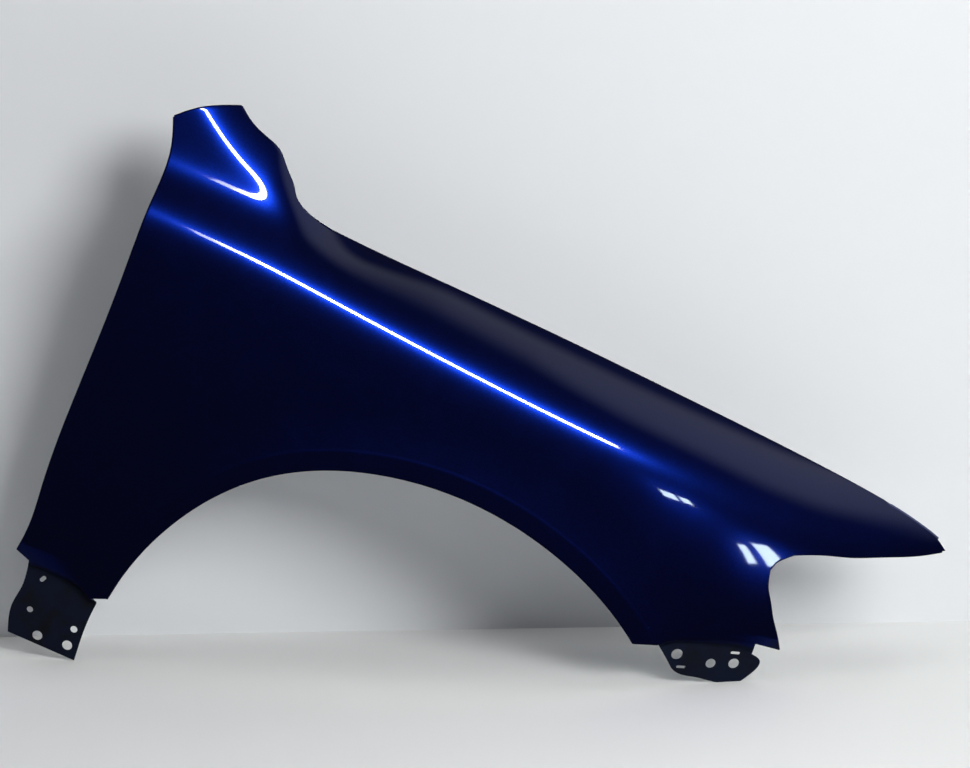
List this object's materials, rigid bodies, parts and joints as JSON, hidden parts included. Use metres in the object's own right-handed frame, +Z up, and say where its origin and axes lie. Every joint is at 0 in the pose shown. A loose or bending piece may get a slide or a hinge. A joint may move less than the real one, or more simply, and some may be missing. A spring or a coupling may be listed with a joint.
{
  "type": "car front fender",
  "caption": "Right-hand front fender pressed from one steel sheet, with a wheel arch lip, a headlamp cut-out, a horn at the pillar, a turned-in hood rail and drilled fixing tabs.",
  "frame": {"origin": "on the inner face of the sill tab, clear of its holes, where the body's sill bracket bears", "axes": "+X towards the front of the car, +Y inboard towards the car's centre line, +Z up; the painted outer side faces -Y"},
  "size_m": [1.0636, 0.1975, 0.7157],
  "materials": {
    "fender_panel": "deep metallic blue under gloss clear coat, duller on the tabs and inside"
  },
  "bodies": {
    "root": {"fender_panel": "fender_panel"}
  },
  "joints": []
}
